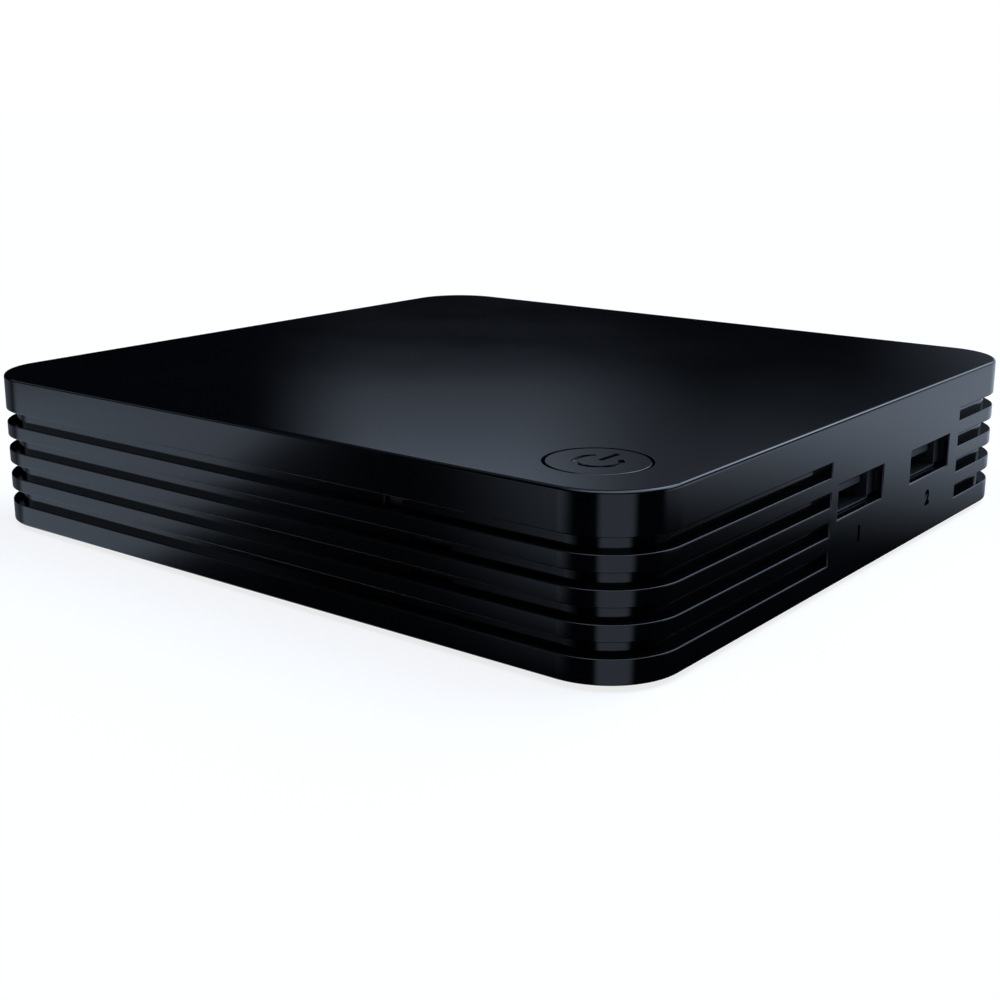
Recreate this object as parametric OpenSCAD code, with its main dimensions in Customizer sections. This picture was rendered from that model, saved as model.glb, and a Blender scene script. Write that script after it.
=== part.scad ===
// Streaming media player: a flat box with four grooves round its sides, two USB sockets
// on its right side, a round power button on top and its other sockets at the back.
// X runs to the right, Y to the back and Z up. The origin is midway between the feet,
// on the surface that they stand on.

/* [Body] */
// Width of the body
body_w = 146; // [130:1:200]
// Depth of the body, front to back
body_d = 140; // [130:1:200]
// Height of the body, without its feet
body_h = 28; // [28:0.5:40]
// Radius of the four upright corners
corner_r = 12.5; // [9:0.5:18]

/* [Walls] */
// Wall left behind the grooves
wall_t = 1.6; // [1.2:0.1:2.4]
// Top wall
top_t = 2; // [1.4:0.1:3]
// Flat panels that the sockets look through
panel_t = 2.6; // [1.5:0.1:3.4]
// Bottom cover
cover_t = 2; // [1.8:0.1:3]
// Rim of the housing around the bottom cover
rim_t = 1.8; // [1.2:0.1:2.6]
// Gap all round the bottom cover
cover_gap = 0.15; // [0.05:0.05:0.4]

/* [Grooves] */
// Number of grooves, one above the other
groove_count = 4; // [1:1:4]
// Height of each groove
groove_h = 2.4; // [1.6:0.1:2.8]
// Height of each fin between two grooves
fin_h = 2.6; // [1.6:0.1:2.8]
// Depth of the grooves
groove_depth = 1.8; // [1.5:0.1:3.4]
// Height of the band below the lowest groove
base_h = 4; // [3:0.1:5]

/* [Side panel] */
// Front face to the front end of the flat side panel
side_panel_start = 58.8; // [50:0.2:70]
// Length of the flat side panel
side_panel_l = 54; // [50:0.5:58]
// Front end of the side panel to the middle of the first USB socket
usb_offset = 11.6; // [11:0.1:14]
// Distance between the two USB sockets
usb_pitch = 29.2; // [20:0.1:31]
// Underside of the body to the middle of the USB sockets
usb_z = 14.2; // [13:0.1:15]
// Width of each USB cut-out
usb_cut_w = 17.4; // [15:0.1:18]
// Height of each USB cut-out
usb_cut_h = 5.9; // [5.8:0.1:7]

/* [Rear panel] */
// Width of the flat rear panel
rear_panel_w = 104; // [100:1:110]
// Middle of the power inlet, across the rear panel
dc_x = -38; // [-42:0.5:-34]
// Middle of the sound and picture jack
av_x = -22; // [-26:0.5:-18]
// Middle of the HDMI socket
hdmi_x = -2; // [-5:0.5:4]
// Middle of the network socket
net_x = 24; // [20:0.5:34]

/* [Power button] */
// Radius of the button's face
button_r = 7.8; // [5:0.1:9]
// Gap between the button and the housing
button_gap = 0.4; // [0.2:0.05:0.5]
// Right face of the body to the middle of the button
button_inset_x = 16; // [14.5:0.1:24]
// Front face of the body to the middle of the button
button_inset_y = 15; // [14.5:0.1:24]
// How far the button goes down
button_travel = 0.4; // [0.2:0.05:0.5]

/* [Receiver windows] */
// Middle of the body to the middle of the remote-control window
ir_x = 36.5; // [20:0.5:40]
// Width of the remote-control window
ir_w = 8.2; // [5:0.1:9]
// Middle of the body to the middle of the status light
led_x = 29.2; // [12:0.1:29.5]
// Width of the status light
led_w = 3.6; // [2:0.1:4]

/* [Feet and screws] */
// Radius of each foot
foot_r = 5; // [3:0.5:7]
// Height of the feet below the body
foot_h = 1; // [0.6:0.1:3]
// How deep the feet sit in the bottom cover
foot_sink = 0.6; // [0.3:0.1:1]
// Body's faces to the middle of each foot
foot_inset = 19; // [17:1:30]
// Radius of every screw's thread
screw_r = 1.3; // [1:0.05:1.5]
// Body's side to the middle of the case screws
boss_inset = 9.5; // [9:0.1:11]

/* [Hidden] */
$fn = 64;
over = 1;                                   // how far a cut runs past the face it opens

side_t = groove_depth + wall_t;             // whole side wall
z_under = foot_h;                           // underside of the body
z_top = z_under + body_h;
z_ceiling = z_top - top_t;
z_floor = z_under + cover_t;                // top of the bottom cover
inside_h = z_ceiling - z_floor;
side_panel_y = side_panel_start - body_d / 2;
usb_ys = [side_panel_y + usb_offset, side_panel_y + usb_offset + usb_pitch];
socket_gap = 0.1;                           // a socket's face to the panel in front of it
usb_face_back = 1.8;                        // face of the USB sockets behind the panel's, in its cut-out
x_side = body_w / 2 - usb_face_back;
y_rear = body_d / 2 - panel_t - socket_gap; // face of the rear sockets

// Sockets and their plugs have standard sizes.
sheet_t = 0.3;                              // pressed metal of the socket shells
usb_in = [12.5, 5.12];                      // mouth of a USB socket
usb_l = 14;
usb_flange_w = 17;
usb_h = usb_in[1] + 2 * sheet_t;
usb_tongue = [11.1, 8.4, 1.84];
usb_tongue_back = 1;                        // tongue's tip behind the socket's face
usb_tongue_drop = 0.65;                     // shell's inner top to the tongue
contact_t = 0.25;
usb_contact_xs = [-3.5, -1, 1, 3.5];
hdmi_in = [14, 4.55];
hdmi_h = hdmi_in[1] + 2 * sheet_t;
hdmi_l = 11.5;
hdmi_corner = 1.7;
hdmi_margin = 1.2;                          // cut-out's edge outside the socket's mouth
net_size = [15.9, 16, 13.5];
net_mouth = [11.8, 12, 7.9];
net_mouth_z = 4.2;
net_latch = [6.4, 12, 2.4];
dc_size = [9, 14.2, 11];
dc_z = 6.5;
dc_mouth_r = 3.1;
dc_mouth_l = 9.5;
dc_pin_r = 1.05;
dc_pin_back = 1.8;
av_size = [7.6, 12, 6.6];
av_r = 1.8;
av_bush_r = 3;
av_l = 14;                                  // depth of the jack's bore

// Main board. Its top carries the USB sockets, so it hangs from their height.
board_t = 1.6;
board_z = z_under + usb_z - usb_h / 2;      // top of the board
board_gap = 2.6;                            // board's edge to the side walls
board_edge_r = body_w / 2 - side_t - board_gap;
board_front = -body_d / 2 + side_t + 3.6;
board_back = body_d / 2 - side_t - 3.6;
board_left = -body_w / 2 + boss_inset + 5.5;
standoff_r = 3;
board_hole_r = screw_r + 0.2;
board_screws_xy = [for (x = [board_left + 6, board_edge_r - 20], y = [board_front + 6, 40]) [x, y]];

// Bosses that the case screws go into.
boss_r = 3.2;
front_boss_y = -body_d / 2 + 30;
rear_boss_y = body_d / 2 - 12;
bosses_xy = [for (sx = [-1, 1], y = [front_boss_y, rear_boss_y]) [sx * (body_w / 2 - boss_inset), y]];
feet_xy = [for (sx = [-1, 1], sy = [-1, 1]) [sx * (body_w / 2 - foot_inset), sy * (body_d / 2 - foot_inset)]];
head_r = 2.4;
head_h = 1.2;
case_screw_l = 8;
board_screw_l = 6;

// Power button and the switch under it.
button_xy = [body_w / 2 - button_inset_x, -body_d / 2 + button_inset_y];
button_skirt_h = 5;
button_wall = 1.4;
guide_h = 4.2;                              // housing's guide tube, from the top face down
guide_t = 1.2;
hook_gap = 0.05;
hook_reach = 0.75;
switch_size = [6, 6, 3.6];
switch_h = 5;                               // board to the top of the switch's plunger
plunger_r = 1.75;
plunger_fit = 0.05;
plunger_foot = 1.6;
symbol_r = 3.4;
symbol_line = 1;
symbol_depth = 0.3;
symbol_half_gap = 40;                       // degrees each side of the symbol's bar
symbol_bar = [0.4, 5.3];                    // the bar's two ends, from the button's middle

// Windows in the grooves.
window_t = 1;
window_sink = 0.9;                          // windows' faces behind the grooves' floor
window_lap = 0.7;                           // how far the window laps over the wall
guide_fit = 0.15;
guide_leg = 2.2;
led_size = [2, 1.25, 0.8];
receiver_size = [6, 4.6, 6.8];
receiver_lens_r = 1.9;
receiver_lens_z = 3.9;

function groove_z(k) = z_under + base_h + k * (groove_h + fin_h);
ir_low = groove_z(1);
ir_high = groove_z(2) + groove_h;
led_z = groove_z(3);

// Parts on the board, measured from its middle.
cpu_xy = [0, -8];
cpu_size = [21, 21, 1.6];
pad_size = [17, 17, 0.6];
sink_size = [34, 34, 8.5];
sink_base = 2;
sink_fin = 1.2;
sink_fins = 8;

plastic = "#1b1c20";
steel = "#b9bcc2";
gold = "#c9a24a";
chip = "#17181a";

// ---- shared shapes ----

// The body's outline, moved inwards by inset.
module body_plan(inset) {
    w = body_w - 2 * inset;
    d = body_d - 2 * inset;
    r = corner_r - inset;
    square([w - 2 * r, d], center = true);
    square([w, d - 2 * r], center = true);
    for (sx = [-1, 1], sy = [-1, 1])
        translate([sx * (w / 2 - r), sy * (d / 2 - r)]) circle(r);
}

// A block whose middle is over the origin and whose back is at Y = 0.
module socket_block(size, z = 0) {
    translate([-size[0] / 2, -size[1], z]) cube(size);
}

module on_board(xy) {
    translate([xy[0], xy[1], board_z]) children();
}

module board_block(xy, size) {
    on_board(xy) translate([-size[0] / 2, -size[1] / 2, 0]) cube(size);
}

module at_usb(i) {
    translate([x_side, usb_ys[i], board_z]) rotate([0, 0, -90]) children();
}

module at_rear(x) {
    translate([x, y_rear, board_z]) children();
}

// A pan-head screw that points down from Z = 0, with a cross recess in its head.
module screw(length) {
    difference() {
        union() {
            cylinder(r = head_r, h = head_h);
            translate([0, 0, -length]) cylinder(r = screw_r, h = length + head_h / 2);
        }
        for (turn = [0, 90]) rotate([0, 0, turn])
            translate([-1.3, -0.3, head_h / 2]) cube([2.6, 0.6, head_h]);
    }
}

// ---- housing ----

module grooves() {
    for (k = [0 : groove_count - 1])
        translate([0, 0, groove_z(k)]) linear_extrude(groove_h) difference() {
            body_plan(-over);
            body_plan(groove_depth);
            translate([body_w / 2 - side_t, side_panel_y]) square([side_t + 2 * over, side_panel_l]);
            translate([-rear_panel_w / 2, body_d / 2 - side_t])
                square([rear_panel_w, side_t + 2 * over]);
        }
}

// The hollow, with pockets that leave the socket panels thin.
module cavity() {
    translate([0, 0, z_floor]) linear_extrude(inside_h) {
        body_plan(side_t);
        translate([body_w / 2 - side_t - over, side_panel_y + wall_t])
            square([over + side_t - panel_t, side_panel_l - 2 * wall_t]);
        translate([-rear_panel_w / 2 + wall_t, body_d / 2 - side_t - over])
            square([rear_panel_w - 2 * wall_t, over + side_t - panel_t]);
    }
    translate([0, 0, z_under - over]) linear_extrude(cover_t + over) body_plan(rim_t);
}

module panel_cuts() {
    cut_l = panel_t + 2 * over;
    for (i = [0, 1]) at_usb(i)
        translate([-usb_cut_w / 2, -over, (usb_h - usb_cut_h) / 2]) cube([usb_cut_w, cut_l, usb_cut_h]);
    at_rear(hdmi_x) translate([0, cut_l - over, -hdmi_margin + sheet_t])
        socket_block([hdmi_in[0] + 2 * hdmi_margin, cut_l, hdmi_in[1] + 2 * hdmi_margin]);
    at_rear(net_x) translate([0, cut_l - over, 1])
        socket_block([net_mouth[0] + 2, cut_l, net_size[2] - 1.4]);
    at_rear(dc_x) translate([0, -over, dc_z]) rotate([-90, 0, 0])
        cylinder(r = dc_mouth_r + 1, h = cut_l);
    at_rear(av_x) translate([0, -over, av_size[2] / 2]) rotate([-90, 0, 0])
        cylinder(r = av_bush_r + guide_fit, h = cut_l);
}

module window_cuts() {
    y_wall = -body_d / 2 + groove_depth - over / 2;
    for (k = [1, 2])
        translate([ir_x - ir_w / 2, y_wall, groove_z(k)]) cube([ir_w, wall_t + over, groove_h]);
    translate([led_x - led_w / 2, y_wall, led_z]) cube([led_w, wall_t + over, groove_h]);
}

module housing() {
    color(plastic) difference() {
        union() {
            difference() {
                translate([0, 0, z_under]) linear_extrude(body_h) body_plan(0);
                grooves();
                cavity();
            }
            for (p = bosses_xy) translate([p[0], p[1], z_floor]) cylinder(r = boss_r, h = inside_h + over);
            translate([button_xy[0], button_xy[1], z_top - guide_h])
                cylinder(r = button_r + button_gap + guide_t, h = guide_h - top_t / 2);
        }
        panel_cuts();
        window_cuts();
        translate([button_xy[0], button_xy[1], z_top - guide_h - over])
            cylinder(r = button_r + button_gap, h = guide_h + 2 * over);
        for (p = bosses_xy) translate([p[0], p[1], z_floor - over])
            cylinder(r = screw_r, h = case_screw_l + over);
    }
}

// ---- bottom cover, feet and screws ----

vent_xs = [for (i = [-5 : 5]) i * 6];
vent_l = 26;
vent_w = 2;

module bottom_cover() {
    color(plastic) difference() {
        union() {
            translate([0, 0, z_under]) linear_extrude(cover_t) body_plan(rim_t + cover_gap);
            for (p = board_screws_xy) translate([p[0], p[1], z_floor - cover_t / 2])
                cylinder(r = standoff_r, h = board_z - board_t - z_floor + cover_t / 2);
        }
        for (p = feet_xy) translate([p[0], p[1], z_under - over]) cylinder(r = foot_r, h = over + foot_sink);
        for (p = bosses_xy) translate([p[0], p[1], z_under - over]) {
            cylinder(r = head_r + 0.2, h = over + head_h);
            cylinder(r = screw_r + 0.2, h = cover_t + 2 * over);
        }
        for (p = board_screws_xy) translate([p[0], p[1], z_floor])
            cylinder(r = screw_r, h = board_z);
        for (x = vent_xs, y = [-20, 16])
            translate([x - vent_w / 2, y - vent_l / 2, z_under - over]) cube([vent_w, vent_l, cover_t + 2 * over]);
    }
}

module rubber_feet() {
    color("#101010") for (p = feet_xy) translate([p[0], p[1], 0]) cylinder(r = foot_r, h = foot_h + foot_sink);
}

module case_screws() {
    color(steel) for (p = bosses_xy) translate([p[0], p[1], z_under + head_h])
        rotate([180, 0, 0]) screw(case_screw_l - head_h);
}

module board_screws() {
    color(steel) for (p = board_screws_xy) on_board(p) screw(board_screw_l);
}

// ---- main board ----

module main_board() {
    color("#1d5b3a") difference() {
        translate([board_left, board_front, board_z - board_t])
            cube([board_edge_r - board_left, board_back - board_front, board_t]);
        for (p = board_screws_xy) translate([p[0], p[1], board_z - board_t - over])
            cylinder(r = board_hole_r, h = board_t + 2 * over);
        for (p = bosses_xy) translate([p[0], p[1], board_z - board_t - over])
            cylinder(r = boss_r + 0.5, h = board_t + 2 * over);
    }
}

// ---- power button and its switch ----

module power_symbol() {
    rotate([0, 0, 90 + symbol_half_gap]) rotate_extrude(angle = 360 - 2 * symbol_half_gap)
        translate([symbol_r - symbol_line / 2, 0]) square([symbol_line, symbol_depth + over]);
    translate([-symbol_line / 2, symbol_bar[0], 0])
        cube([symbol_line, symbol_bar[1] - symbol_bar[0], symbol_depth + over]);
}

module power_button() {
    color("#202126") translate([button_xy[0], button_xy[1], z_top]) difference() {
        union() {
            translate([0, 0, -button_skirt_h]) cylinder(r = button_r, h = button_skirt_h);
            for (turn = [0, 120, 240]) rotate([0, 0, turn])
                translate([button_r - 1, -1.5, -button_skirt_h - 0.2])
                    cube([1 + button_gap + hook_reach, 3, button_skirt_h + 0.2 - guide_h - hook_gap]);
            translate([0, 0, board_z + switch_h - z_top]) cylinder(r = 2, h = z_top - board_z - switch_h - 1);
        }
        difference() {
            translate([0, 0, -button_skirt_h - over])
                cylinder(r = button_r - button_wall, h = button_skirt_h + over - button_wall);
            translate([0, 0, board_z + switch_h - z_top]) cylinder(r = 2, h = z_top);
        }
        translate([0, 0, -symbol_depth]) power_symbol();
    }
}

module switch_body() {
    color(steel) on_board(button_xy) difference() {
        translate([-switch_size[0] / 2, -switch_size[1] / 2, 0]) cube(switch_size);
        translate([0, 0, plunger_foot - button_travel - 0.2])
            cylinder(r = plunger_r + plunger_fit, h = switch_size[2]);
    }
}

module switch_plunger() {
    color("#2b2b2b") on_board(button_xy) translate([0, 0, plunger_foot])
        cylinder(r = plunger_r, h = switch_h - plunger_foot);
}

// ---- sockets ----

module usb_shell() {
    difference() {
        union() {
            socket_block([usb_in[0] + 2 * sheet_t, usb_l, usb_h]);
            socket_block([usb_flange_w, sheet_t, usb_h - 4 * sheet_t], 2 * sheet_t);
        }
        translate([0, over, sheet_t]) socket_block([usb_in[0], usb_l + 2 * over, usb_in[1]]);
    }
}

usb_tongue_z = usb_h - sheet_t - usb_tongue_drop - usb_tongue[2];
usb_block_l = usb_l - usb_tongue_back - usb_tongue[1];

module usb_insulator() {
    translate([0, -usb_tongue_back, usb_tongue_z]) socket_block([usb_tongue[0], usb_tongue[1] + 1, usb_tongue[2]]);
    translate([0, -usb_l + usb_block_l, sheet_t + 0.05])
        socket_block([usb_in[0] - 0.1, usb_block_l, usb_in[1] - 0.1]);
}

module usb_contact_set() {
    for (x = usb_contact_xs) {
        translate([x, -usb_tongue_back - 0.6, usb_tongue_z - contact_t])
            socket_block([1.1, usb_tongue[1] - 0.7, contact_t]);
        translate([x, -usb_l, 0]) socket_block([0.6, 0.8, usb_in[1] / 2]);
    }
}

module usb_port_1_shell() { color(steel) at_usb(0) usb_shell(); }
module usb_port_2_shell() { color(steel) at_usb(1) usb_shell(); }
module usb_port_1_insulator() { color("#3b3e44") at_usb(0) usb_insulator(); }
module usb_port_2_insulator() { color("#3b3e44") at_usb(1) usb_insulator(); }
module usb_contacts() { color(gold) for (i = [0, 1]) at_usb(i) usb_contact_set(); }

// The outline of an HDMI socket's mouth: a rectangle with its two lower corners cut off.
module hdmi_outline(w, h, corner) {
    polygon([[-w / 2 + corner, 0], [w / 2 - corner, 0], [w / 2, corner], [w / 2, h], [-w / 2, h], [-w / 2, corner]]);
}

module hdmi_shell() {
    color(steel) at_rear(hdmi_x) rotate([90, 0, 0]) difference() {
        linear_extrude(hdmi_l) hdmi_outline(hdmi_in[0] + 2 * sheet_t, hdmi_h, hdmi_corner);
        translate([0, sheet_t, -over]) linear_extrude(hdmi_l + 2 * over)
            hdmi_outline(hdmi_in[0], hdmi_in[1], hdmi_corner - sheet_t / 2);
    }
}

module hdmi_insulator() {
    color("#101214") at_rear(hdmi_x) {
        translate([0, -1, hdmi_h / 2 - 0.2]) socket_block([11, 8, 1]);
        translate([0, -8.5, 0]) rotate([90, 0, 0]) translate([0, sheet_t + 0.05, 0])
            linear_extrude(hdmi_l - 8.5) hdmi_outline(hdmi_in[0] - 0.1, hdmi_in[1] - 0.1, hdmi_corner);
    }
}

module network_jack() {
    color(steel) at_rear(net_x) difference() {
        socket_block(net_size);
        translate([0, over, net_mouth_z]) socket_block([net_mouth[0], net_mouth[1] + over, net_mouth[2]]);
        translate([0, over, net_mouth_z - net_latch[2]]) socket_block([net_latch[0], net_latch[1] + over, net_latch[2] + over]);
    }
}

module network_contacts() {
    color(gold) at_rear(net_x) for (i = [0 : 7])
        translate([(i - 3.5) * 1.02, -2.6, net_mouth_z + net_mouth[2] - 0.5]) rotate([17, 0, 0])
            socket_block([0.45, 8, 0.35]);
}

module power_inlet() {
    color(chip) at_rear(dc_x) difference() {
        socket_block(dc_size);
        translate([0, over, dc_z]) rotate([90, 0, 0]) cylinder(r = dc_mouth_r, h = dc_mouth_l + over);
    }
}

module power_inlet_pin() {
    color(steel) at_rear(dc_x) translate([0, -dc_pin_back, dc_z]) rotate([90, 0, 0])
        cylinder(r = dc_pin_r, h = dc_mouth_l - dc_pin_back);
}

module av_jack() {
    color("#2f6b3c") at_rear(av_x) difference() {
        union() {
            socket_block(av_size);
            translate([0, panel_t, av_size[2] / 2]) rotate([90, 0, 0]) cylinder(r = av_bush_r, h = panel_t + over);
        }
        translate([0, panel_t + over, av_size[2] / 2]) rotate([90, 0, 0]) cylinder(r = av_r, h = av_l + over);
    }
}

// ---- remote-control window and status light ----

// A plate behind the wall, with a land that stands forward into each slot.
module ir_window() {
    land_w = ir_w - 2 * guide_fit;
    land_l = wall_t - window_sink;
    color("#2a0d12") {
        translate([ir_x - ir_w / 2 - window_lap, -body_d / 2 + side_t, ir_low - window_lap])
            cube([ir_w + 2 * window_lap, window_t, ir_high - ir_low + 2 * window_lap]);
        for (k = [1, 2])
            translate([ir_x - land_w / 2, -body_d / 2 + side_t - land_l, groove_z(k) + guide_fit])
                cube([land_w, land_l + window_t / 2, groove_h - 2 * guide_fit]);
    }
}

module ir_receiver() {
    color("#121316") translate([ir_x, board_front, board_z]) {
        translate([-receiver_size[0] / 2, 0.4, 0]) cube(receiver_size);
        translate([0, 0.4, receiver_lens_z]) sphere(receiver_lens_r);
    }
}

module light_guide() {
    w = led_w - 2 * guide_fit;
    h = groove_h - 2 * guide_fit;
    y_face = -body_d / 2 + groove_depth + window_sink;
    y_leg = board_front + 0.4;
    color("#30343a", 0.8) translate([led_x - w / 2, 0, 0]) {
        translate([0, y_face, led_z + guide_fit]) cube([w, y_leg + guide_leg - y_face, h]);
        translate([0, y_leg, board_z + led_size[2] + 0.3])
            cube([w, guide_leg, led_z + guide_fit + h - board_z - led_size[2] - 0.3]);
    }
}

module status_led() {
    color("#e8efe9") board_block([led_x, board_front + 0.4 + guide_leg / 2], led_size);
}

// ---- parts on the board ----

module main_processor() { color(chip) board_block(cpu_xy, cpu_size); }

module thermal_pad() {
    color("#8f9aa8") translate([0, 0, cpu_size[2]]) board_block(cpu_xy, pad_size);
}

module heat_sink() {
    pitch = (sink_size[0] - sink_fin) / (sink_fins - 1);
    color("#2a2c30") on_board(cpu_xy) translate([-sink_size[0] / 2, -sink_size[1] / 2, cpu_size[2] + pad_size[2]]) {
        cube([sink_size[0], sink_size[1], sink_base]);
        for (i = [0 : sink_fins - 1]) translate([i * pitch, 0, 0]) cube([sink_fin, sink_size[1], sink_size[2]]);
    }
}

module memory_chips() { color(chip) for (y = [-18, 2]) board_block([-28, y], [11, 13, 1.1]); }
module flash_chip() { color(chip) board_block([30, -22], [12, 20, 1.1]); }
module wifi_module() { color("#1f2f4d") board_block([-42, -8], [14, 24, 1]); }

module wifi_shield() {
    color(steel) translate([0, 0, 1]) board_block([-42, -12], [12, 14, 2]);
}

capacitors = [[-46, 26, 4, 10], [-36, 24, 3.15, 8], [-28, 32, 3.15, 8], [-46, -36, 3.15, 6], [8, 24, 2.5, 6]];

module power_capacitors() {
    color("#2b3358") for (c = capacitors) on_board([c[0], c[1]]) cylinder(r = c[2], h = c[3]);
}

module power_coils() {
    color("#3a3a3c") for (x = [-40, -30, -20]) on_board([x, 12]) {
        translate([-3.5, -3.5, 0]) cube([7, 7, 1.2]);
        cylinder(r = 3.3, h = 3.4);
    }
}

module regulators() { color(chip) for (x = [-18, -8, 2]) board_block([x, 34], [6.5, 6.5, 2.3]); }

module usb_power_switches() {
    color(chip) for (y = usb_ys) board_block([x_side - usb_l - 8, y], [4, 5, 1.5]);
}

module network_transformer() { color(chip) board_block([net_x, 34], [12.7, 9.5, 5.6]); }

module clock_crystal() {
    color(steel) on_board([24, 2]) {
        translate([-3.2, -2.3, 0]) cube([6.4, 4.6, 3.5]);
        for (x = [-3.2, 3.2]) translate([x, 0, 0]) cylinder(r = 2.3, h = 3.5);
    }
}

module small_chips() {
    color("#8a7a5a") {
        for (x = [-12 : 4 : 12], y = [-30, 14]) board_block([x, y], [1.6, 0.8, 0.7]);
        for (x = [34 : 4 : 46], y = [-6, 12]) board_block([x - 2, y], [0.8, 1.6, 0.6]);
    }
}

housing();
bottom_cover();
rubber_feet();
case_screws();
main_board();
board_screws();
power_button();
switch_body();
switch_plunger();
usb_port_1_shell();
usb_port_2_shell();
usb_port_1_insulator();
usb_port_2_insulator();
usb_contacts();
hdmi_shell();
hdmi_insulator();
network_jack();
network_contacts();
power_inlet();
power_inlet_pin();
av_jack();
ir_window();
ir_receiver();
light_guide();
status_led();
main_processor();
thermal_pad();
heat_sink();
memory_chips();
flash_chip();
wifi_module();
wifi_shield();
power_capacitors();
power_coils();
regulators();
usb_power_switches();
network_transformer();
clock_crystal();
small_chips();
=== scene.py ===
# %% [markdown]
# # A streaming media player
# The object is a flat black box that stands under a television. The packed CAD model is
# the frame: it says where every part sits. This lesson keeps that frame, gives its parts
# real finishes, and models the moulded and pressed pieces again with the soft edges that
# tools leave. Blender works in metres, so millimetres are written as a number times MM.

# %% Load the frame
import math

import bpy
from mathutils import Matrix, Vector


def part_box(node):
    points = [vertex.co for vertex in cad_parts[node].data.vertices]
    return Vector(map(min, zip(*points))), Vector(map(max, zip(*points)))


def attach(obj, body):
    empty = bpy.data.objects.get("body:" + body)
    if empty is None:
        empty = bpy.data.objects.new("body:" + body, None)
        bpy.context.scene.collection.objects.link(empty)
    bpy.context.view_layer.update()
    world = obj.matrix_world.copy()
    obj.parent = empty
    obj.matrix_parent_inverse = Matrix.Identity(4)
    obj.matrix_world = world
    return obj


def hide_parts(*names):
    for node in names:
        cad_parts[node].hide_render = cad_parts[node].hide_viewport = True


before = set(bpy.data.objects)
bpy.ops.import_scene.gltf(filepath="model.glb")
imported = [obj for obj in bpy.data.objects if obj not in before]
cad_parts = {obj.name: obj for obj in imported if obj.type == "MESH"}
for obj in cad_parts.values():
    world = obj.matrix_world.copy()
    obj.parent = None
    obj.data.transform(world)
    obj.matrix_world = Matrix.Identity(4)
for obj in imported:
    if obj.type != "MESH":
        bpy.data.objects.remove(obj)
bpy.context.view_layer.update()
MM = 0.001

# %% [markdown]
# ## The camera
# A flat box reads best from a little above the table, turned so that two sides and the
# top all show. The camera stands close, so the near corner looms and the
# far edges run together. Placing it by a target, two angles and a distance keeps each
# number meaningful, where a position and three rotations would not.

# %% Camera
view_target = Vector((16.64, -25.21, 13.43)) * MM
view_distance = 268.87 * MM
view_azimuth = math.radians(37.62)
view_elevation = math.radians(14.783)
view_roll = math.radians(0.142)
view_lens = 54.65
view_shift = (-0.0022, -0.0204)

camera_data = bpy.data.cameras.new("camera")
camera_data.sensor_width = 36
camera_data.lens = view_lens
camera_data.shift_x, camera_data.shift_y = view_shift
camera_data.clip_start = 10 * MM
camera = bpy.data.objects.new("camera", camera_data)
bpy.context.scene.collection.objects.link(camera)
bpy.context.scene.camera = camera
back = Vector((
    math.sin(view_azimuth) * math.cos(view_elevation),
    -math.cos(view_azimuth) * math.cos(view_elevation),
    math.sin(view_elevation),
))
turn = back.to_track_quat("Z", "Y").to_matrix() @ Matrix.Rotation(view_roll, 3, "Z")
camera.matrix_world = Matrix.Translation(view_target + back * view_distance) @ turn.to_4x4()
print("camera at", [round(v / MM) for v in camera.matrix_world.translation], "mm")

# %% [markdown]
# ## Writing shader maths
# A finish is a small formula: how dark, how rough, how bumpy, from place to place. Node
# trees can be wired by hand, but long chains of Math nodes are hard to read. Here a class
# wraps one socket, and Python's own operators add the Math nodes, so that 1 - mask or
# noise * 0.2 reads as what it is. Every other kind of node comes from one method.

# %% The expression class
class Value:
    """One socket of a node tree, which Python's arithmetic works on."""

    def __init__(self, tree, socket):
        self.tree = tree
        self.socket = socket

    def node(self, kind, settings=None, output=0, **inputs):
        """Adds a node of that kind: its settings first, then values or links of its sockets."""
        made = self.tree.nodes.new(kind)
        for name, value in (settings or {}).items():
            if name == "stops":
                ramp = made.color_ramp.elements
                while len(ramp) < len(value):
                    ramp.new(0.5)
                for element, (place, grey) in zip(ramp, value):
                    element.position = place
                    element.color = (grey, grey, grey, 1)
            else:
                setattr(made, name, value)
        for name, value in inputs.items():
            numbered = name[0] == "i" and name[1:].isdigit()
            index = int(name[1:]) if numbered else name.replace("_", " ")
            self.join(value, made.inputs[index])
        return Value(self.tree, made.outputs[output])

    def join(self, value, socket):
        if isinstance(value, Value):
            self.tree.links.new(value.socket, socket)
        else:
            socket.default_value = value

    def maths(self, operation, *values):
        names = {f"i{n}": value for n, value in enumerate(values)}
        return self.node("ShaderNodeMath", {"operation": operation}, **names)

    def __add__(self, other):
        return self.maths("ADD", self, other)

    def __radd__(self, other):
        return self.maths("ADD", other, self)

    def __sub__(self, other):
        return self.maths("SUBTRACT", self, other)

    def __rsub__(self, other):
        return self.maths("SUBTRACT", other, self)

    def __mul__(self, other):
        return self.maths("MULTIPLY", self, other)

    def __rmul__(self, other):
        return self.maths("MULTIPLY", other, self)

    def ramp(self, low, high):
        """0 below low, 1 above high and a smooth step between; high may be the smaller."""
        settings = {"interpolation_type": "SMOOTHSTEP"}
        return self.node("ShaderNodeMapRange", settings, Value=self, From_Min=low, From_Max=high)


print("a socket's operators:", [n for n in vars(Value) if n[-5:] in ("add__", "sub__", "mul__")])

# %% [markdown]
# ## The studio
# Black plastic has hardly any colour of its own: it shows what stands around it. So the
# light is the picture. The studio is drawn as a sky of soft boxes, each a patch of
# directions with soft edges, and only the reflections and the shading see it. What the
# camera sees is a pale floor and a pale backdrop, lit evenly. Lamps on stands would do
# the same, but a patch of sky has no distance, so each one is two ranges of angle, a lean
# of its upright edges, and a strength.

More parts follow.
